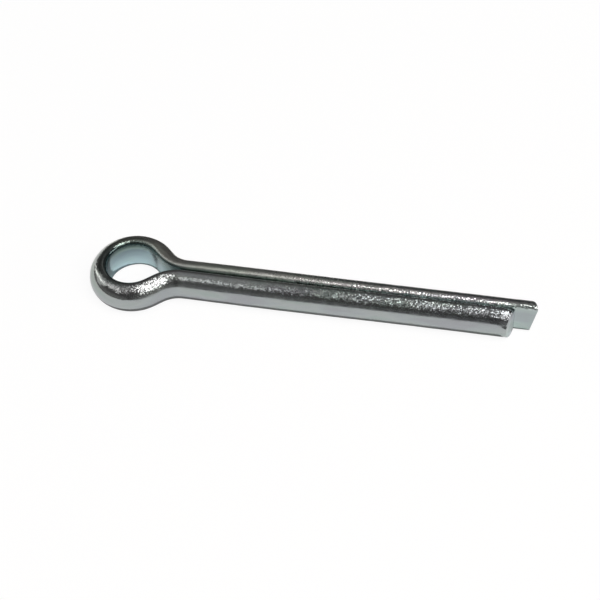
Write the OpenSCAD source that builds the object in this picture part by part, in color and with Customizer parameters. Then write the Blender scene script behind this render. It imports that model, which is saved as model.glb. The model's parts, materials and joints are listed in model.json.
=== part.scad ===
// Cotter pin (split pin), nominal 6.3 x 50.
// One piece of half-round steel wire, folded in the middle with its flat sides inwards.
// The fold is a round eye, two necks bring the ends together, and two legs run on side by side.
// The pin lies on its side: X runs along the legs towards the tips, Y crosses them, Z is up.
// The origin is on the shank's axis, at the neck, where the two flat sides come together.

/* [Shank] */
// Diameter that the two legs make together
shank_d = 5.7; // [5.4:0.05:5.9]
// Gap between the flat sides of the two legs
gap = 0.1; // [0.05:0.05:0.3]
// Radius of the drawn wire's corners, between its flat and its round side
corner_r = 0.7; // [0.4:0.05:0.9]
// Length of the short leg, from the neck to its tip
short_leg = 48.9; // [30:0.1:60]
// Length of the long leg that stands out past the short one
prong_extra = 3.3; // [2.8:0.1:5]

/* [Eye] */
// Radius of the round inside of the eye
eye_r = 3.85; // [3:0.05:5]
// Length of the straight flank between the eye and each neck
flank_len = 1.5; // [0.2:0.1:4]
// Radius of the wire's flat side round each neck
neck_r = 6.4; // [4.5:0.05:8]

/* [Sheared tips] */
// Radius that the shear blade rolls over at the edge it enters by
roll_r = 0.4; // [0.3:0.05:0.9]
// Angle by which each tip is cut back towards the outside of its leg
tip_yaw = 16; // [0:1:25]
// Angle by which the long leg's tip is cut back from top to bottom
long_lean = 12; // [0:1:20]
// Angle by which the short leg's tip is cut back from top to bottom
short_lean = 1; // [0:1:20]

/* [Hidden] */
$fn = 96;
shank_r = shank_d / 2;
// The corner circles touch the flat line and lie inside the round side's circle
corner_y = sqrt(pow(shank_r - corner_r, 2) - pow(gap / 2 + corner_r, 2));
// Direction from the shank's axis in which a corner meets the round side
corner_dir = atan2(corner_y, gap / 2 + corner_r);
// Each neck turns about a point beside the origin
neck_centre = [0, gap / 2 + neck_r];
// From the eye's centre to the neck's: both radii along one line, and the flank square to it
both_r = eye_r + neck_r;
// Direction from the eye's centre in which its round inside meets the flank
eye_dir = asin(neck_centre[1] / norm([both_r, flank_len])) + atan2(flank_len, both_r);
eye_centre = both_r * cos(eye_dir) + flank_len * sin(eye_dir);
flank_start = [eye_r * cos(eye_dir) - eye_centre, eye_r * sin(eye_dir)];
// A block or radius larger than anything it trims
beyond = 20;
// How much smaller the pieces are while they are joined
weld_scale = 1000;
// How far a straight piece reaches into the bent one that it joins
weld_lap = 0.00002;

// Section of the drawn wire: its flat side on the Y axis, its round side towards +X
module wire_section() {
    difference() {
        translate([-gap / 2, 0])
            circle(r = shank_r);
        translate([-beyond, -beyond / 2])
            square([beyond, beyond]);
        corner_trim();
        mirror([0, 1])
            corner_trim();
    }
}

// What is missing outside the upper corner's arc, from the flat side to the round side
module corner_trim() {
    translate([corner_r, corner_y])
        difference() {
            polygon([
                [0, 0],
                beyond * [cos(corner_dir), sin(corner_dir)],
                [-beyond, beyond],
                [-beyond, 0]
            ]);
            circle(r = corner_r);
        }
}

// Straight wire along X, flat side on the plane Y = 0 and round side towards +Y
module straight_wire(length) {
    rotate([90, 0, 90])
        linear_extrude(height = length)
            wire_section();
}

// Wire bent about the Z axis with its flat side inside, as round the eye
module wire_round_eye(from, to) {
    rotate_extrude(angle = to - from, start = from)
        translate([eye_r, 0])
            wire_section();
}

// Wire bent about the Z axis with its flat side outside, as round a neck
module wire_round_neck(from, to) {
    rotate_extrude(angle = to - from, start = from)
        translate([neck_r, 0])
            mirror([1, 0])
                wire_section();
}

// Room inside the shear's cut: a bar with a rolled rim, cut back by one slanting plane
module sheared_bar(length, lean) {
    intersection() {
        translate([-weld_lap, 0, 0])
            rotate([0, 90, 0])
                rotate_extrude()
                    rolled_profile(length + weld_lap);
        translate([length, 0, shank_r - roll_r])
            rotate([0, lean, tip_yaw])
                translate([-3 * beyond, -beyond, -beyond])
                    cube([3 * beyond, 2 * beyond, 2 * beyond]);
    }
}

// Half of the bar's own section, with the rolled rim at the far end
module rolled_profile(length) {
    difference() {
        square([shank_r, length]);
        translate([shank_r - roll_r, length - roll_r])
            difference() {
                square([beyond, beyond]);
                circle(r = roll_r);
            }
    }
}

// One leg on the +Y side, sheared off at its tip
module leg(length, lean) {
    intersection() {
        translate([-weld_lap, gap / 2, 0])
            straight_wire(length + weld_lap);
        sheared_bar(length, lean);
    }
}

// Joins pieces that meet end to end. Their places are good to a millionth of their size, so
// they are joined at a small scale, where that lies within a solid modeller's tolerance.
module weld() {
    scale(weld_scale)
        union()
            for (i = [0 : $children - 1])
                scale(1 / weld_scale)
                    children(i);
}

// The flank on the +Y side, straight from the eye to the neck
module flank() {
    translate(flank_start)
        rotate([0, 0, eye_dir - 90])
            translate([-weld_lap, 0, 0])
                straight_wire(flank_len + 2 * weld_lap);
}

// The neck on the +Y side, from the flank to the leg
module neck() {
    translate(neck_centre)
        wire_round_neck(180 + eye_dir, 270);
}

// The eye, from one flank round to the other
module eye() {
    translate([-eye_centre, 0, 0])
        wire_round_eye(eye_dir, 360 - eye_dir);
}

module cotter_pin() {
    color("silver")
        weld() {
            leg(short_leg + prong_extra, long_lean);
            neck();
            flank();
            eye();
            mirror([0, 1, 0])
                flank();
            mirror([0, 1, 0])
                neck();
            mirror([0, 1, 0])
                leg(short_leg, short_lean);
        }
}

cotter_pin();
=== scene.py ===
# %% [markdown]
# # A cotter pin, from one piece of wire
# A cotter pin, or split pin, is a length of half-round steel wire folded in the middle with its
# flat sides together. The fold is an eye, two necks bring the ends back to one line, and two legs
# run on side by side as one round shank. One leg is longer, so a thumbnail or a screwdriver can
# catch it and spread the two.
#
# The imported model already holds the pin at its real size, lying on its side. We load it first,
# read the sizes that we need, and then draw the same wire again with a finer, softer surface.

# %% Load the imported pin
import json
from math import asin, atan2, cos, degrees, hypot, pi, radians, sin, sqrt

import bpy
from mathutils import Matrix, Quaternion, Vector


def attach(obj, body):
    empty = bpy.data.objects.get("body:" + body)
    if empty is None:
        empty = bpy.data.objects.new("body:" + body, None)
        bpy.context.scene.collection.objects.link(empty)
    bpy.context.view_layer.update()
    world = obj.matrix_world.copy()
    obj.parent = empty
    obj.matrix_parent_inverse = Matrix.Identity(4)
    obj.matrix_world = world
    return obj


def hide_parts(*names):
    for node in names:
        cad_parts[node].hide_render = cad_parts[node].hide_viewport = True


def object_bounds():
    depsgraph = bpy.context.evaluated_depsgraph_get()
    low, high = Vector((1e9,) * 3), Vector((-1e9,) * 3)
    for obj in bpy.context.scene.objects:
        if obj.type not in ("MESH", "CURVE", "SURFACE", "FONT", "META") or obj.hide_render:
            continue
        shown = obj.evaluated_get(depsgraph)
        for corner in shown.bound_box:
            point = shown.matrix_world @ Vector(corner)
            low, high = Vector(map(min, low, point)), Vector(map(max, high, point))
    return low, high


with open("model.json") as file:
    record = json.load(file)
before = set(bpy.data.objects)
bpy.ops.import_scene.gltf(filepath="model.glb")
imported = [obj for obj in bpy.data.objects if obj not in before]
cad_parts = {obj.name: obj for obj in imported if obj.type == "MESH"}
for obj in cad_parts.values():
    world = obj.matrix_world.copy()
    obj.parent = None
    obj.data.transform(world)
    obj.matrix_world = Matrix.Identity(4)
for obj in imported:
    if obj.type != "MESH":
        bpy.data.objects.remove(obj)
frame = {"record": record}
cad_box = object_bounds()
MM = 0.001


def in_mm(box):
    """A box's two corners in millimetres, rounded for printing."""
    return [tuple(round(c / MM, 2) for c in corner) for corner in box]


print("packed pin, mm:", in_mm(cad_box))

# %% [markdown]
# ## Sizes
# The shank's and the eye's radii are written in the pin's record, as its two mounts. The rest are
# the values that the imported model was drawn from. All lengths are in metres from here on.
# X runs along the legs, Y crosses them and Z is up. The origin is at the neck, on the shank's axis.

# %% The sizes of the wire and of its bends
mounts = {m["name"]: m for m in frame["record"]["mounts"]}
shank_r = mounts["shank"]["dims"]["r_mm"] * MM
eye_r = mounts["eye"]["dims"]["r_mm"] * MM
gap = 0.1 * MM          # between the two flat sides
corner_r = 0.7 * MM     # of the drawn wire's corners
flank_len = 1.5 * MM    # the straight run between the eye and each neck
neck_r = 6.4 * MM       # of the wire's flat side round each neck
short_leg = 48.9 * MM
long_leg = 52.2 * MM
roll_r = 0.4 * MM       # of the rim that the shear rolls over
tip_yaw = radians(16)   # by which each tip is cut back towards the outside

# The corner circle touches the flat side and lies inside the round side's circle
corner_z = sqrt((shank_r - corner_r) ** 2 - (gap / 2 + corner_r) ** 2)
corner_dir = atan2(corner_z, gap / 2 + corner_r)

# The eye's centre, and the direction in which its round inside runs out into the flank
both_r = eye_r + neck_r
neck_y = gap / 2 + neck_r
eye_dir = asin(neck_y / hypot(both_r, flank_len)) + atan2(flank_len, both_r)
eye_x = -(both_r * cos(eye_dir) + flank_len * sin(eye_dir))
crown_x = eye_x - eye_r
print(f"eye centre at {eye_x / MM:.2f} mm, flanks leave it at {degrees(eye_dir):.1f} degrees")

# %% [markdown]
# ## Small helpers
# Every operator acts on what is selected, so we select in code, by place. These few helpers are
# all that the modelling below needs.

# %% Helpers for selecting and for changing modes
tiny = 0.0001 * MM      # closer than this, two points are one
near = 0.01 * MM        # closer than this, a point lies where it was meant to


def edit():
    bpy.ops.object.mode_set(mode="EDIT")


def leave_edit():
    bpy.ops.object.mode_set(mode="OBJECT")


def deselect_everything():
    if bpy.context.mode != "OBJECT":
        leave_edit()
    bpy.ops.object.select_all(action="DESELECT")


def clear_picks(kind):
    """Deselects all of the mesh, ready for picking one kind: VERT or EDGE."""
    edit()
    bpy.ops.mesh.select_mode(type=kind)
    bpy.ops.mesh.select_all(action="DESELECT")
    leave_edit()


def pick_points(piece, wanted):
    """Selects the points for which wanted(place) is true, and the edges and faces between them."""
    clear_picks("VERT")
    for point in piece.data.vertices:
        point.select = wanted(point.co)
    edit()


def pick_edges(piece, wanted):
    """Selects the edges for which wanted(one end, other end) is true."""
    clear_picks("EDGE")
    points = piece.data.vertices
    for edge in piece.data.edges:
        edge.select = wanted(points[edge.vertices[0]].co, points[edge.vertices[1]].co)
    edit()


def smooth_step(value, low, high):
    """0 below low, 1 above high, and smooth between."""
    step = min(max((value - low) / (high - low), 0), 1)
    return step * step * (3 - 2 * step)


print("helpers ready, points merge within", tiny / MM, "mm")

# %% [markdown]
# ## The wire's section
# The wire is drawn through a die to a D shape: one flat side, one round side, and two rounded
# corners. We add a circle where the wire crosses the crown of the eye, keep its round side, and
# sweep each corner by spinning the side's end point about the corner's own centre. Spinning a
# point gives a true arc, which a bevel on such a short curve does not. The spin operator turns
# clockwise when its axis points at you, so the angles here have the opposite sign to a drawing's.

# %% Draw the round side at the crown of the eye
CIRCLE_POINTS = 120
CORNER_STEPS = 12
FLAT_CUTS = 11

deselect_everything()
bpy.ops.mesh.primitive_circle_add(
    vertices=CIRCLE_POINTS,
    radius=shank_r,
    location=(crown_x + gap / 2, 0, 0),
    rotation=(pi / 2, 0, 0),
)
pin = bpy.context.object
pin.name = pin.data.name = "zinc_cotter_pin"
bpy.ops.object.transform_apply(location=True, rotation=True, scale=True)

# Cut the round side off where the corners begin, above and below, and drop the rest
edge_z = shank_r * sin(corner_dir)
edit()
for up in (1, -1):
    bpy.ops.mesh.select_all(action="SELECT")
    bpy.ops.mesh.bisect(
        plane_co=(0, 0, up * edge_z), plane_no=(0, 0, up), clear_outer=True, threshold=tiny
    )
pick_points(pin, lambda p: p.x > crown_x)
bpy.ops.mesh.delete(type="VERT")
print("round side between heights of", round(edge_z / MM, 2), "mm")

# %% Sweep the corners and close the flat side
corner_turn = pi - corner_dir
for up in (1, -1):
    pick_points(pin, lambda p: abs(p.z - up * edge_z) < tiny)
    bpy.ops.mesh.spin(
        steps=CORNER_STEPS,
        angle=-up * corner_turn,
        center=(crown_x - corner_r, 0, up * corner_z),
        axis=(0, 1, 0),
    )

pick_points(pin, lambda p: abs(p.x - crown_x) < near and abs(abs(p.z) - corner_z) < near)
bpy.ops.mesh.edge_face_add()
bpy.ops.mesh.subdivide(number_cuts=FLAT_CUTS)
bpy.ops.mesh.select_all(action="SELECT")
bpy.ops.mesh.remove_doubles(threshold=tiny)
leave_edit()
print("section:", len(pin.data.vertices), "points,", len(pin.data.edges), "edges")

# %% [markdown]
# ## Eye, flanks and necks
# A bending machine forms the eye round a pin, with the flat side inwards. We do the same: the
# section is spun round the eye's centre, pushed along the straight flank, spun back round the neck
# and pushed along the leg. Both halves start from the same ring of points at the crown, so the
# wire has no seam. A curve with a bevel object would be quicker, but it can twist the section
# where the bends meet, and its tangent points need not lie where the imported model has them.

# %% Bend the wire: crown, eye, flank, neck and leg, on each side
LONG, SHORT = 1, -1     # the side of Y that each leg lies on
EYE_STEPS = 48
NECK_STEPS = 18
spare = 3 * MM          # the legs are drawn too long and sheared afterwards


def push(x, y):
    """Extrudes what is selected straight along."""
    bpy.ops.mesh.extrude_region_move(TRANSFORM_OT_translate={"value": (x, y, 0)})


def draw_half(side, leg_length):
    """Bends one half of the wire, from the crown of the eye to beyond its tip."""
    pick_points(pin, lambda p: abs(p.y) < tiny and p.x < crown_x + corner_r)
    bpy.ops.mesh.spin(
        steps=EYE_STEPS, angle=side * (pi - eye_dir), center=(eye_x, 0, 0), axis=(0, 0, 1)
    )
    push(flank_len * sin(eye_dir), -side * flank_len * cos(eye_dir))
    bpy.ops.mesh.spin(
        steps=NECK_STEPS,
        angle=-side * (pi / 2 - eye_dir),
        center=(0, side * neck_y, 0),
        axis=(0, 0, 1),
    )
    push(leg_length + spare, 0)


draw_half(LONG, long_leg)
draw_half(SHORT, short_leg)
leave_edit()
print("bent wire:", len(pin.data.polygons), "faces")

# %% [markdown]
# ## Shearing the tips
# A press shears each leg off. The blade comes in from above and from outside, so the wire's skin
# rolls over the edge there, and the cut breaks away slanting towards the flat side and the
# underside, where the edge stays crisp. A boolean with a wedge would cut as well, but bisect cuts
# by the plane itself and fills the cut. We then give the edges of the cut a bevel weight: full
# above and outside, little below, none on the flat side. One Bevel modifier rolls both rims.

# %% Shear each leg with a slanting cut
LEAST_ROLL = 0.15       # of the full roll, kept all along the underside
ROLL_RISES = (-0.1, 0.7)        # from the least to the full roll, in parts of the shank's radius


def shear(side, leg_length, lean, roll):
    """Cuts one leg off and weights the cut's edges. Gives a point on the cut and its direction."""
    cut = Vector((cos(lean) * cos(tip_yaw), side * cos(lean) * sin(tip_yaw), -sin(lean)))
    foot = Vector((leg_length, 0, shank_r - roll_r))
    pick_points(pin, lambda p: p.x > -tiny and side * p.y > 0)
    bpy.ops.mesh.bisect(
        plane_co=foot, plane_no=cut, clear_outer=True, use_fill=True, threshold=tiny
    )
    leave_edit()

    def on_cut(p):
        return side * p.y > 0 and abs((p - foot).dot(cut)) < near

    weights = pin.data.attributes.get("bevel_weight_edge")
    if weights is None:
        weights = pin.data.attributes.new("bevel_weight_edge", "FLOAT", "EDGE")
    points = pin.data.vertices
    for edge, weight in zip(pin.data.edges, weights.data):
        a, b = (points[i].co for i in edge.vertices)
        off_the_flat = abs(a.y + b.y) / 2 - gap / 2 > 0.25 * corner_r
        if on_cut(a) and on_cut(b) and off_the_flat:
            rise = smooth_step((a.z + b.z) / 2 / shank_r, *ROLL_RISES)
            weight.value = roll * (LEAST_ROLL + (1 - LEAST_ROLL) * rise)
    return foot, cut


# The long leg's cut leans back from top to bottom, and its rim is rolled less
sheared_at = {
    LONG: shear(LONG, long_leg, radians(12), 0.7),
    SHORT: shear(SHORT, short_leg, radians(1), 1),
}

rim = pin.modifiers.new("rolled rim", "BEVEL")
rim.width = roll_r
rim.segments = 6
rim.limit_method = "WEIGHT"
rim.use_clamp_overlap = False
bpy.ops.object.modifier_apply(modifier=rim.name)
print("sheared and rolled:", len(pin.data.polygons), "faces")

# %% [markdown]
# ## Dividing the straight runs
# A leg is still one face long from neck to tip, and a face can't bow or waver between its ends.
# By hand, the loop cut tool would divide it. In code we pick the long edges and subdivide them
# all at once, which cuts the same rings.

# %% Divide the straight runs along their length
LEG_CUTS = 79
FLANK_CUTS = 3
pick_edges(pin, lambda a, b: abs(a.x - b.x) > short_leg / 2)
bpy.ops.mesh.subdivide(number_cuts=LEG_CUTS)
pick_edges(pin, lambda a, b: abs(hypot(a.x - b.x, a.y - b.y) - flank_len) < near)
bpy.ops.mesh.subdivide(number_cuts=FLANK_CUTS)
leave_edit()
print("divided:", len(pin.data.polygons), "faces")

# %% [markdown]
# ## The dragged edge
# The side of the blade drags the short leg's upper edge down as it goes in, so the leg droops
# over its last millimetre. Moving points by hand is what a proportional move does: we cut a few
# more rings there, pick the upper rim of the cut and pull it down, and the falloff takes the rest
# of the tip along. We limit it to connected points, or the long leg beside it would droop too.

# %% Pull the short leg's upper edge down
DRAG_RINGS = 7
ring_apart = 0.2 * MM
drag = 0.4 * MM


def drawn_along(by, reach, falloff):
    """Moves the picked points, and what is joined to them within reach."""
    bpy.ops.transform.translate(
        value=by,
        use_proportional_edit=True,
        use_proportional_connected=True,
        proportional_edit_falloff=falloff,
        proportional_size=reach,
    )


for ring in range(DRAG_RINGS):
    pick_points(pin, lambda p: p.y < 0 and p.x > short_leg - 4 * MM)
    ring_at = (short_leg - 0.9 * MM - ring * ring_apart, 0, 0)
    bpy.ops.mesh.bisect(plane_co=ring_at, plane_no=(1, 0, 0), threshold=tiny)

foot, cut = sheared_at[SHORT]
pick_points(pin, lambda p: p.y < 0 and p.z > 1.2 * MM and (p - foot).dot(cut) > -0.35 * MM)
drawn_along((0, 0, -drag), 1.4 * MM, "SHARP")
bpy.ops.mesh.select_all(action="SELECT")
bpy.ops.mesh.normals_make_consistent(inside=False)
leave_edit()
bpy.ops.object.shade_smooth_by_angle(angle=radians(40))
print("whole pin:", len(pin.data.polygons), "faces")

# %% [markdown]
# ## Unevenness
# A bent and handled wire is never a perfect bar. The jaws that bent it leave shallow hollows on
# the near upper side of the eye, and each leg springs back into a slight bow next to the neck,
# which opens the gap there. Its faces also waver by a few hundredths of a millimetre, and a
# bright plating shows that at once in every long highlight. Hollows and bows are proportional
# moves again. A Displace modifier with a soft cloud texture gives the wavering. Its mid level is
# 1, so it only ever takes metal away and the pin keeps inside its drawn size.

# %% Press the hollows, bow the legs and waver the faces
PICK_REACH = 0.4 * MM   # round the middle of each hollow and bow
HOLLOWS_MM = ((-11.2, -4, 2.5), (-9.4, -4.9, 2.5), (-8, -5.5, 2.3))


def hollow(middle, depth, reach):
    """Presses a small hollow into the upper side of the eye."""
    pick_points(pin, lambda p: (p - middle).length < PICK_REACH)
    drawn_along((0, 0, -depth), reach, "SMOOTH")
    leave_edit()


def bow(side, at_x, amount, reach):
    """Bows one leg away from the other, most at one place and nothing beyond its reach."""
    pick_points(pin, lambda p: side * p.y > 0 and abs(p.x - at_x) < PICK_REACH)
    drawn_along((0, side * amount, 0), reach, "SMOOTH")
    leave_edit()


for middle in HOLLOWS_MM:
    hollow(Vector(middle) * MM, 0.05 * MM, 0.9 * MM)
bow(SHORT, 12 * MM, 0.14 * MM, 24 * MM)
bow(LONG, 6 * MM, 0.07 * MM, 18 * MM)

clouds = bpy.data.textures.new("soft wavering", "CLOUDS")
clouds.noise_scale = 2.2 * MM
waver = pin.modifiers.new("wavering faces", "DISPLACE")
waver.texture = clouds
waver.strength = 0.04 * MM
waver.mid_level = 1
bpy.ops.object.modifier_apply(modifier=waver.name)
print("uneven pin:", len(pin.data.vertices), "points")

# %% [markdown]
# ## The unbent wire
# The finish follows the wire and not the room: die lines and colour bands run along it, round the
# eye as well. A UV map would need a seam, so we store with every point its place on the wire
# before bending: how far along from the crown, how far out from the flat side, and how high. The
# distance along is positive on the long leg's side and negative on the short leg's. The sheared
# faces are torn and not drawn, so they get a mark of their own.

# %% Store each point's place on the unbent wire
eye_arc = eye_r * (pi - eye_dir)
neck_turn = pi / 2 - eye_dir
to_leg = eye_arc + flank_len + neck_r * neck_turn   # from the crown, along the wire


def unbend(p):
    """A point's place on the straight wire, tried on the leg, the neck, the flank and the eye."""
    side = LONG if p.y > 0 else SHORT
    y = abs(p.y)
    if p.x > 0:
        return Vector((side * (to_leg + p.x), y - gap / 2, p.z))
    turned = atan2(-p.x, neck_y - y)
    if turned < neck_turn:
        return Vector((side * (to_leg - neck_r * turned), neck_r - hypot(p.x, neck_y - y), p.z))
    from_x = p.x - eye_x - eye_r * cos(eye_dir)
    from_y = y - eye_r * sin(eye_dir)
    on_flank = from_x * sin(eye_dir) - from_y * cos(eye_dir)
    if on_flank > 0:
        out = from_x * cos(eye_dir) + from_y * sin(eye_dir)
        return Vector((side * (eye_arc + on_flank), out, p.z))
    round_eye = atan2(y, eye_x - p.x)
    return Vector((side * eye_r * round_eye, hypot(p.x - eye_x, y) - eye_r, p.z))


unbent = pin.data.attributes.new("unbent", "FLOAT_VECTOR", "POINT")
for point, mark in zip(pin.data.vertices, unbent.data):
    mark.vector = unbend(point.co)
print("straight wire:", round((2 * to_leg + short_leg + long_leg) / MM, 1), "mm long")

# %% Mark the two sheared faces, where the metal is torn and not drawn
SAME_WAY = 0.985        # least cosine between a torn face's normal and its cut's direction
sheared = pin.data.attributes.new("sheared", "FLOAT", "FACE")
for face, mark in zip(pin.data.polygons, sheared.data):
    cut = sheared_at[LONG if face.center.y > 0 else SHORT][1]
    mark.value = face.center.x > short_leg - 2 * MM and face.normal.dot(cut) > SAME_WAY
print("torn faces:", sum(mark.value > 0 for mark in sheared.data))

# %% [markdown]
# ## Camera
# The pin is seen from above and in front, a little from the side, through a long lens that keeps
# its two edges nearly parallel. We set the view by its angles and by where the neck stands in the
# square frame, and work the camera's place out from those. Moving a camera until it looks right
# would do as well, but angles can be read and changed one by one.

# %% Place the camera
FRAME = 600             # the render's width and height
neck_at = (186.113, 279.399)    # from the render's upper left corner, in the same unit
elevation, azimuth, tilted = 49.188, 15.465, -4.965
distance = 0.223978     # from the camera to the neck, along the view

camera_data = bpy.data.cameras.new("camera")
camera = bpy.data.objects.new("camera", camera_data)
bpy.context.scene.collection.objects.link(camera)
camera_data.sensor_width = 36
camera_data.lens = 90
camera_data.clip_start = 0.01
camera_data.clip_end = 100
bpy.context.scene.camera = camera


def turn(angle, first, second):
    """A turn, in degrees, in the plane of two of the axes 0, 1 and 2."""
    rows = [[float(i == j) for j in range(3)] for i in range(3)]
    c, s = cos(radians(angle)), sin(radians(angle))
    rows[first][first], rows[first][second] = c, s
    rows[second][first], rows[second][second] = -s, c
    return Matrix(rows)


to_camera = turn(tilted, 0, 1) @ turn(90 - elevation, 1, 2) @ turn(azimuth, 0, 1)
metres_per_unit = distance / (FRAME * camera_data.lens / camera_data.sensor_width)
neck_in_view = Vector((
    (neck_at[0] - FRAME / 2) * metres_per_unit,
    -(neck_at[1] - FRAME / 2) * metres_per_unit,
    -distance,
))
camera.matrix_world = Matrix.LocRotScale(
    -(to_camera.transposed() @ neck_in_view), to_camera.transposed().to_quaternion(), None
)
print("camera at", [round(c, 4) for c in camera.location])

# %% [markdown]
# ## Helpers for nodes
# The room, the paper and the plating are all made of nodes. A node tree in code soon drowns in
# its own wiring, so a few helpers each add one node, link it and give back its result.

# %% Helpers that add and link nodes
def open_tree(owner):
    """Turns on an owner's nodes. The helpers add to the tree that was opened last."""
    global nodes, links
    owner.use_nodes = True
    nodes, links = owner.node_tree.nodes, owner.node_tree.links


def add(kind, **values):
    """Adds one node and sets its properties by name."""
    node = nodes.new(kind)
    for name, value in values.items():
        setattr(node, name, value)
    return node


def put(value, slot):
    """Links another node's result to a slot, or writes a plain value there."""
    if isinstance(value, bpy.types.NodeSocket):
        links.new(value, slot)
    else:
        slot.default_value = value


def arithmetic(operation, *values):
    node = add("ShaderNodeMath", operation=operation)
    for value, slot in zip(values, node.inputs):
        put(value, slot)
    return node.outputs[0]


def times(one, other):
    return arithmetic("MULTIPLY", one, other)


def plus(one, other):
    return arithmetic("ADD", one, other)


def scaled(value, factor, more):
    """value * factor + more"""
    return arithmetic("MULTIPLY_ADD", value, factor, more)


def mixed(one, other, amount, how="MIX"):
    """The first colour, with the other mixed into it or multiplied by it."""
    node = add("ShaderNodeMix", data_type="RGBA", blend_type=how)
    put(amount, node.inputs["Factor"])
    put(one, node.inputs["A"])
    put(other, node.inputs["B"])
    return node.outputs["Result"]


def ramp_of(source, stops):
    """A colour ramp driven by one value. Each stop is a place and a colour."""
    ramp = add("ShaderNodeValToRGB")
    links.new(source, ramp.inputs[0])
    elements = ramp.color_ramp.elements
    for i, (at, colour) in enumerate(stops):
        stop = elements[i] if i < 2 else elements.new(at)
        stop.position = at
        stop.color = (*colour, 1)
    return ramp.outputs["Color"]


def greys(stops, tint=(1, 1, 1)):
    """The same stops, with each level of grey made a colour."""
    return [(at, tuple(level * part for part in tint)) for at, level in stops]


def split(vector):
    node = add("ShaderNodeSeparateXYZ")
    links.new(vector, node.inputs[0])
    return node.outputs


print("node helpers ready")

# %% [markdown]
# ## Room
# A bright metal shows its surroundings more than itself, so the room matters as much as the pin.
# Below the horizon the pin mirrors white paper. Above it stands a dim room: darkest half way up
# and paler at the ceiling, darker behind the pin, and with a dark slot that runs overhead from
# front to back, for the dark bands along the legs. A panorama of a real room would do, but three
# ramps over the direction of view can be tuned one at a time. The camera itself sees only white
# beyond the paper.

# %% Build the dim room
WARM = (1.0, 0.955, 0.935)
WHITE = (1, 1, 1, 1)
BY_HEIGHT = ((0.0, 0.2), (0.28, 0.19), (0.4, 0.1), (0.6, 0.11), (0.85, 0.26), (0.97, 0.36))
LEFT_TO_RIGHT = ((0.4, 1.0), (0.46, 0.6), (0.49, 0.55), (0.52, 0.35), (0.56, 0.5), (0.62, 1.0))
FRONT_TO_BACK = ((0.5, 1.0), (0.62, 0.62))

scene = bpy.context.scene
scene.view_settings.view_transform = "Standard"
world = bpy.data.worlds.new("dim room")
scene.world = world
open_tree(world)
view_x, view_y, view_z = split(add("ShaderNodeTexCoord").outputs["Generated"])
room = ramp_of(view_z, greys(BY_HEIGHT, WARM))
room = mixed(room, ramp_of(scaled(view_x, 0.5, 0.5), greys(LEFT_TO_RIGHT)), 1, "MULTIPLY")
room = mixed(room, ramp_of(scaled(view_y, 0.5, 0.5), greys(FRONT_TO_BACK)), 1, "MULTIPLY")
seen = add("ShaderNodeLightPath").outputs["Is Camera Ray"]
links.new(mixed(room, WHITE, seen), nodes["Background"].inputs["Color"])
print("room:", len(nodes), "nodes")

# %% [markdown]
# ## White paper
# The pin lies on white paper that runs out to pure white. More light would do that too, but it
# would burn out the metal. So the paper glows for the camera and, less, for reflections, by Light
# Path. Under the glow it is still lit paper: white where it lights the pin, and only a faint grey
# for the camera, which keeps the pin's soft shadow on it.

# %% Lay the pin on white paper
CAMERA_GLOW = 0.92      # 1 is white, and the lit paper adds the rest
MIRROR_GLOW = 0.28
PAPER_WHITE, PAPER_SEEN = 0.88, 0.12    # how pale the lit paper is for the pin and the camera


def lay_sheet(name, size, middle):
    """A flat square in the scene, which isn't part of the pin."""
    deselect_everything()
    bpy.ops.mesh.primitive_plane_add(size=size, location=middle)
    sheet = bpy.context.object
    sheet.name = name
    return sheet


floor = lay_sheet("white paper", 20, (0, 0, cad_box[0].z))
paper = bpy.data.materials.new("white paper")
open_tree(paper)
nodes.remove(nodes["Principled BSDF"])
ray = add("ShaderNodeLightPath").outputs
lit = add("ShaderNodeBsdfDiffuse")
paper_grey = ramp_of(ray["Is Camera Ray"], greys(((0, PAPER_WHITE), (1, PAPER_SEEN))))
links.new(paper_grey, lit.inputs["Color"])
mirrored = arithmetic("MAXIMUM", ray["Is Glossy Ray"], ray["Is Transmission Ray"])
glow = add("ShaderNodeEmission")
in_mirror = scaled(mirrored, MIRROR_GLOW, 0)
links.new(scaled(ray["Is Camera Ray"], CAMERA_GLOW, in_mirror), glow.inputs["Strength"])
both = add("ShaderNodeAddShader")
links.new(lit.outputs[0], both.inputs[0])
links.new(glow.outputs[0], both.inputs[1])
links.new(both.outputs[0], nodes["Material Output"].inputs["Surface"])
floor.data.materials.append(paper)
print("paper:", len(nodes), "nodes")

# %% [markdown]
# ## Lamps
# Area lamps stand in for softboxes: their rectangles are what the bright metal shows, so their
# place and shape matter as much as their power. The large one overhead makes the highlight on the
# near flank of the eye and lights the crystals along the legs. Two windows draw the light line
# next to the neck. A panel and a thin slanting strip on the left trace the eye's rim, a panel on
# the right lights the tips, and a faint one behind catches the far lip of the eye. All stand
# about one metre away.

# %% Hang the lamps
LAMPS = (               # name, place, width, height, watts and lean
    ("overhead lamp", (0.486, -0.324, 0.838), 0.43, 0.8, 5.4, 0),
    ("window", (-0.32, -0.572, 0.757), 0.17, 0.26, 0.22, 0),
    ("long window", (-0.53, -0.28, 0.8), 0.5, 0.2, 0.24, 0),
    ("left panel", (-0.873, 0.046, 0.485), 0.5, 0.6, 0.5, 0),
    ("left strip", (-0.895, 0.1265, 0.428), 1.6, 0.06, 0.6, 44),
    ("right panel", (0.98, -0.07, 0.2), 0.6, 0.34, 1.7, 0),
    ("back panel", (0.05, 0.8, 0.6), 0.3, 0.6, 0.12, 0),
)


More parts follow.
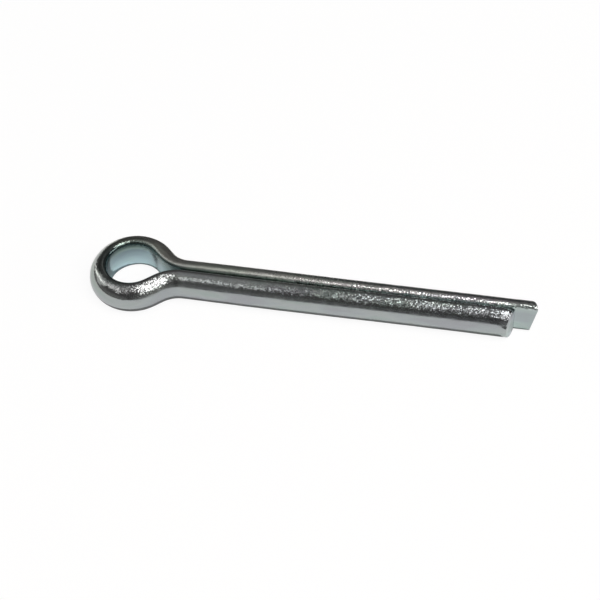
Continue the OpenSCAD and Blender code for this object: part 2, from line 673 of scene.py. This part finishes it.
def hang_lamp(name, place, width, height, watts, lean):
    """A soft lamp that faces the pin, its top leaned over to its left by lean degrees."""
    deselect_everything()
    bpy.ops.object.light_add(type="AREA", location=place)
    lamp = bpy.context.object
    lamp.name = name
    lamp.data.shape = "RECTANGLE"
    lamp.data.size = width
    lamp.data.size_y = height
    lamp.data.energy = watts
    lamp.data.color = WARM
    lamp.rotation_mode = "QUATERNION"
    lamp.rotation_quaternion = lamp.location.to_track_quat("Z", "Y")
    lamp.rotation_quaternion @= Quaternion((0, 0, 1), radians(lean))


for lamp_values in LAMPS:
    hang_lamp(*lamp_values)
print("lamps:", len(LAMPS))

# %% [markdown]
# ## Shade and dark card
# The wire's underside mirrors the paper right beside it, and there the paper lies in the pin's
# own shade. The paper's glow knows no shade, so we lay a thin grey footprint under the pin, made
# from a copy of the pin itself, a little swollen and pressed flat. Behind the pin we lay a dark
# card as painted shade on the paper there, which gives the bright metal a dark edge. Only
# reflections see the two.

# %% Lay the shade under the pin and the card behind it
def only_in_reflections(sheet, name, grey):
    """Hides a sheet from all but reflections and paints it a dull grey."""
    sheet.visible_camera = False
    sheet.visible_diffuse = False
    sheet.visible_shadow = False
    material = bpy.data.materials.new(name)
    material.use_nodes = True
    shader = material.node_tree.nodes["Principled BSDF"]
    shader.inputs["Base Color"].default_value = (grey, grey, grey, 1)
    shader.inputs["Roughness"].default_value = 1
    shader.inputs["Specular IOR Level"].default_value = 0
    sheet.data.materials.append(material)


deselect_everything()
pin.select_set(True)
bpy.context.view_layer.objects.active = pin
bpy.ops.object.duplicate()
contact_shade = bpy.context.object
contact_shade.name = "contact shade"
edit()
bpy.ops.mesh.select_all(action="SELECT")
bpy.ops.transform.shrink_fatten(value=0.45 * MM)
bpy.ops.transform.resize(value=(0.975, 1, 0.001), center_override=(0, 0, 0))
bpy.ops.transform.translate(value=(0, 0, cad_box[0].z + 0.05 * MM))
leave_edit()
only_in_reflections(contact_shade, "shade", 0.42)

# The card is 2 m long and 1 m deep, with its near left corner drawn in to the middle
# Painted shade: the dark card darkens the paper behind the pin, and only reflections see it
card = lay_sheet("dark card", 1, (0, 0.51, cad_box[0].z + 0.1 * MM))
card.scale = (2, 1, 1)
pick_points(card, lambda p: p.x < 0 and p.y < 0)
bpy.ops.transform.translate(value=(0.988, 0, 0))
leave_edit()
only_in_reflections(card, "painted shade card", 0.1)
print("footprint:", len(contact_shade.data.polygons), "faces; card:", len(card.data.polygons))

# %% [markdown]
# ## Zinc plating
# Plated steel wire is bright, but not a mirror. Its skin has a fine grain from the crystals of
# the plating, faint die lines along the wire, and the breath of blue and green that a clear
# passivation leaves. It is also duller in some places than others, and in places its colour holds
# painted shade, painted light and painted highlights. One image could hold all of that, but it
# would blur up close and couldn't be tuned. So we build the skin in layers: the film's colours, the
# painted shade and highlights, how dull it is, and last the grain and the lines.
#
# Most layers lie somewhere on the wire. The unbent place of each point says where: along it,
# out from the flat side, and up. A mask is 1 where a layer lies and 0 elsewhere.

# %% Open the plating's material and add the helpers for its layers
zinc = bpy.data.materials.new("zinc_plated_steel")
open_tree(zinc)
metal = nodes["Principled BSDF"]
metal.inputs["Metallic"].default_value = 1
on_pin = add("ShaderNodeTexCoord").outputs["Object"]
on_wire = add("ShaderNodeAttribute", attribute_name="unbent").outputs["Vector"]
along, out, up = split(on_wire)
from_crown = arithmetic("ABSOLUTE", along)


def noise(vector, scale, detail=2, stretch=(1, 1, 1)):
    """Noise whose blobs are 1 / scale metres wide, stretched by the inverse of stretch."""
    mapping = add("ShaderNodeMapping")
    mapping.inputs["Scale"].default_value = stretch
    links.new(vector, mapping.inputs["Vector"])
    blobs = add("ShaderNodeTexNoise")
    blobs.inputs["Scale"].default_value = scale
    blobs.inputs["Detail"].default_value = detail
    links.new(mapping.outputs[0], blobs.inputs["Vector"])
    return blobs.outputs[0]


def between(value, low, high):
    """A mask: 0 at low, 1 at high and smooth between. It falls where low lies above high."""
    node = add("ShaderNodeMapRange", interpolation_type="SMOOTHSTEP")
    links.new(value, node.inputs["Value"])
    node.inputs["From Min"].default_value = low
    node.inputs["From Max"].default_value = high
    return node.outputs["Result"]


def tinted(colour, where, factor):
    """The colour, multiplied by factor wherever where is 1."""
    return mixed(colour, (*factor, 1), where, "MULTIPLY")


def scaled_vector(vector, factor):
    node = add("ShaderNodeVectorMath", operation="SCALE")
    links.new(vector, node.inputs[0])
    links.new(factor, node.inputs["Scale"])
    return node.outputs["Vector"]


print("plating starts with", len(nodes), "nodes")

# %% [markdown]
# ### The film's colours
# A clear film a few ten-thousandths of a millimetre thick tints the light that it mirrors. The
# tint drifts along the wire in long soft bands. It is minty on the flat side, and thicker and bluer
# inside the eye, where the bath drains last. There the colour also holds painted shade and painted
# light: darker towards the top of the inner wall and paler towards its foot, like the shaded paper.

# %% Colour the film
BREATH = (
    (0.40, (0.385, 0.408, 0.430)),  # deep blue grey
    (0.48, (0.405, 0.447, 0.458)),  # pale blue
    (0.54, (0.425, 0.465, 0.465)),  # palest
    (0.60, (0.390, 0.450, 0.440)),  # pale green
)
MINTY, BLUE, OLIVE = (0.98, 1.04, 1.02), (0.86, 0.98, 1.05), (1.0, 0.995, 0.955)
PAINTED_LIGHT_BELOW, PAINTED_SHADE_ABOVE = 1.45, 0.5

in_eye = between(from_crown, to_leg + 1 * MM, to_leg - 2 * MM)
on_flat = between(out, 0.5 * MM, 0.12 * MM)
inside = times(in_eye, on_flat)
upper_half = between(up, 0.9 * MM, 1.5 * MM)

colour = ramp_of(noise(on_wire, 400, detail=3, stretch=(0.25, 1, 1)), BREATH)
colour = tinted(colour, on_flat, MINTY)
colour = tinted(colour, inside, BLUE)
# Painted shade and light: the inner wall of the eye is darkened towards the top and paled towards
# its foot
depth = add("ShaderNodeMapRange")
links.new(up, depth.inputs["Value"])
depth.inputs["From Min"].default_value = -1.9 * MM
depth.inputs["From Max"].default_value = 1.9 * MM
depth.inputs["To Min"].default_value = PAINTED_LIGHT_BELOW
depth.inputs["To Max"].default_value = PAINTED_SHADE_ABOVE
colour = mixed(colour, scaled_vector(colour, depth.outputs["Result"]), inside)
colour = tinted(colour, times(in_eye, upper_half), OLIVE)
print("film:", len(nodes), "nodes so far")

# %% [markdown]
# ### Painted shade and highlights
# The crown's inner rim is darker. The far side is taupe, and painted paler for brighter
# reflections along it. The top of the short leg is painted greyer, a painted shade on its
# highlight. The long leg's upper corner carries a painted highlight in a broken line. The sheared
# faces are torn steel with a thin, pale coat.

# %% Paint shade and highlights into the colour, and colour the torn faces
DARK_RIM, PALE_TAUPE_PAINTED_LIGHT, SHORT_LEG_PAINTED_SHADE = (0.55, 0.58, 0.58), (1.42, 1.39, 1.29), (0.8, 0.81, 0.8)
CORNER_PAINTED_HIGHLIGHT, TORN = (2.4, 2.25, 2.25), (1.4, 1.38, 1.4)

at_crown = between(from_crown, 9 * MM, 6 * MM)
inner_rim = times(between(up, 1.2 * MM, 1.9 * MM), between(out, 1.5 * MM, 0.9 * MM))
# The crown's inner rim is made darker
colour = tinted(colour, times(at_crown, inner_rim), DARK_RIM)

far_side = between(along, 1 * MM, 4 * MM)
far_run = times(far_side, between(from_crown, to_leg + 34 * MM, to_leg + 8 * MM))
far_top = times(far_run, upper_half)
# Painted light: the upper half of the far side is painted paler, with a taupe tint
colour = tinted(colour, far_top, PALE_TAUPE_PAINTED_LIGHT)

on_top = between(up, 1.55 * MM, 2.1 * MM)
near_leg = between(along, -to_leg - 10 * MM, -to_leg - 20 * MM)
# Painted shade: the top of the short leg is darkened, toning down the highlight on it
colour = tinted(colour, times(on_top, near_leg), SHORT_LEG_PAINTED_SHADE)

beside_gap = times(between(out, 1.05 * MM, 0.6 * MM), between(out, -0.05 * MM, 0.12 * MM))
on_corner = times(between(up, 1.9 * MM, 2.3 * MM), beside_gap)
broken = between(noise(on_pin, 3000), 0.3, 0.5)
less_at_tip = scaled(between(along, to_leg + 46 * MM, to_leg + 50 * MM), -0.6, 1)
along_leg = times(between(along, to_leg, to_leg + 30 * MM), less_at_tip)
# Painted highlight: a broken bright line along the long leg's upper corner, fading at the tip
colour = tinted(colour, times(times(on_corner, broken), along_leg), CORNER_PAINTED_HIGHLIGHT)

torn = add("ShaderNodeAttribute", attribute_name="sheared").outputs["Fac"]
links.new(tinted(colour, torn, TORN), metal.inputs["Base Color"])
print("painted shade and highlights:", len(nodes), "nodes so far")

# %% [markdown]
# ### How dull it is
# The bends were stretched round a polished tool, so the crown is nearly a mirror. The legs are
# duller, in soft patches, the far side is duller still, and the torn faces are dullest.

# %% Set the roughness
patches = noise(on_pin, 900, detail=3)
at_bend = between(from_crown, 8 * MM, 5.5 * MM)
dull = times(scaled(patches, 0.2, 0.06), scaled(at_bend, -0.7, 1.25))
dull = plus(dull, scaled(far_top, 0.13, 0))
links.new(plus(dull, scaled(torn, 0.4, 0)), metal.inputs["Roughness"])
print("roughness:", len(nodes), "nodes so far")

# %% [markdown]
# ### Crystals and die lines
# Each crystal of the plating lies at its own slant and glints by itself, and that is what makes
# the skin sparkle. Grain as fine as this is lost in a mesh and comes out of a bump map as plain
# haze. So each cell of a Voronoi texture, about a tenth of a millimetre wide, tilts the surface's
# normal its own way. The crystals slant most on top of the legs, more so towards the tips, and on
# the near flank of the eye, and hardly at all elsewhere. The die lines are a bump stretched along
# the wire.

# %% Tilt the skin, crystal by crystal
CRYSTALS_PER_METRE = 8500
FULL_TILT = 0.4
LEAST_SLANT = 0.06

near_flank = between(along, -4.5 * MM, -7 * MM)
before_neck = between(from_crown, to_leg, to_leg - 3 * MM)
on_eye = times(before_neck, plus(near_flank, scaled(far_side, 0.5, 0)))
top_of_eye = times(between(up, 1.2 * MM, 1.75 * MM), scaled(on_eye, 0.55, 0))
to_tips = between(from_crown, to_leg - 4 * MM, to_leg + 36 * MM)
top_of_legs = times(on_top, scaled(to_tips, 0.75, 0.25))
slant = scaled(plus(top_of_eye, top_of_legs), 1 - LEAST_SLANT, LEAST_SLANT)

crystals = add("ShaderNodeTexVoronoi")
crystals.inputs["Scale"].default_value = CRYSTALS_PER_METRE
links.new(on_pin, crystals.inputs["Vector"])
centred = add("ShaderNodeVectorMath", operation="SUBTRACT")
links.new(crystals.outputs["Color"], centred.inputs[0])
centred.inputs[1].default_value = (0.5, 0.5, 0.5)
tilt = scaled_vector(centred.outputs["Vector"], scaled(slant, FULL_TILT, 0))

die_lines = add("ShaderNodeBump")
die_lines.inputs["Strength"].default_value = 1
die_lines.inputs["Distance"].default_value = 0.002 * MM
links.new(noise(on_wire, 4000, stretch=(0.03, 1, 1)), die_lines.inputs["Height"])

leaning = add("ShaderNodeVectorMath", operation="ADD")
links.new(die_lines.outputs["Normal"], leaning.inputs[0])
links.new(tilt, leaning.inputs[1])
skin = add("ShaderNodeVectorMath", operation="NORMALIZE")
links.new(leaning.outputs["Vector"], skin.inputs[0])
links.new(skin.outputs["Vector"], metal.inputs["Normal"])
pin.data.materials.append(zinc)
print("zinc plating:", len(nodes), "nodes")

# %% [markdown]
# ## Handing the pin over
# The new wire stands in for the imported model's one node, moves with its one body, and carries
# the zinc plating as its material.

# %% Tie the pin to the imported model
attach(pin, "root")
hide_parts("cotter_pin")
print("pin:", len(pin.data.polygons), "faces")
